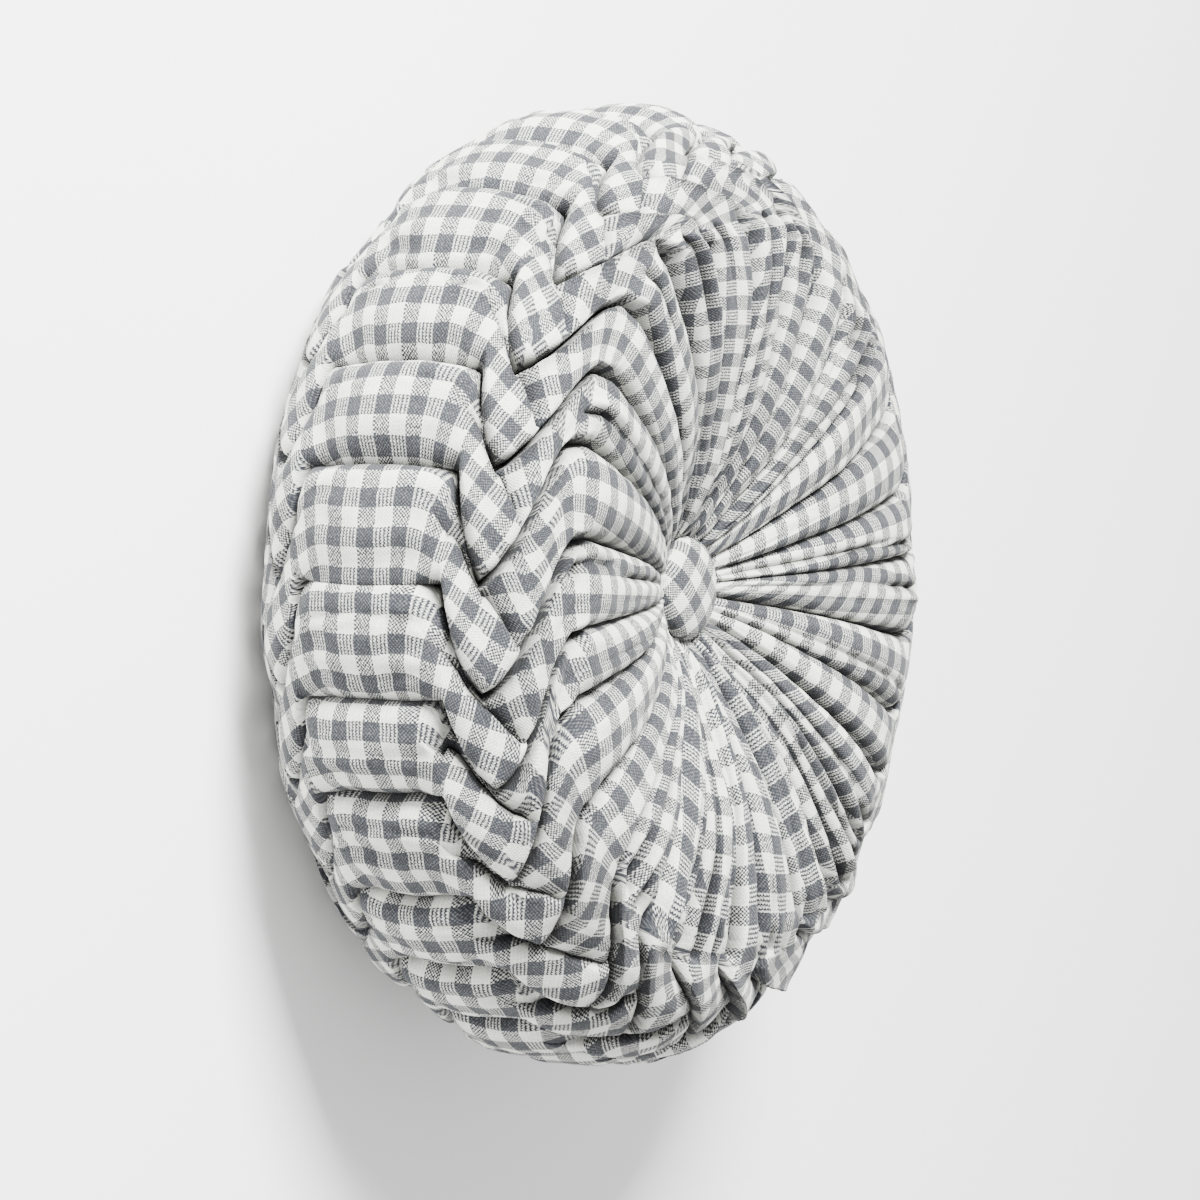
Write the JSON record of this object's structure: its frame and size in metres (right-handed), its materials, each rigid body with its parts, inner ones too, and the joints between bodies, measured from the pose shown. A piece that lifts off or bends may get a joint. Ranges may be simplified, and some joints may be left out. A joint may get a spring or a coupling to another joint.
{
  "type": "round pleated throw pillow",
  "caption": "Round filled cushion in checked cotton, with soft folds across its rim, smocked shoulders and pleats drawn in to a covered button on each face.",
  "frame": {"origin": "on the surface that the cushion lies on, below its middle", "axes": "+Z leaves the pleated face that shows, through the middle of the buttons; +X and +Y lie along the surface"},
  "size_m": [0.3781, 0.3782, 0.1349],
  "materials": {
    "cushion_cloth": "grey and cream gingham check, plain-woven cotton, matt",
    "button_cloth": "the same gingham cut on the slant and stretched over a domed button, matt"
  },
  "bodies": {
    "root": {"cushion": "cushion_cloth", "button_front": "button_cloth", "button_back": "button_cloth"}
  },
  "joints": []
}
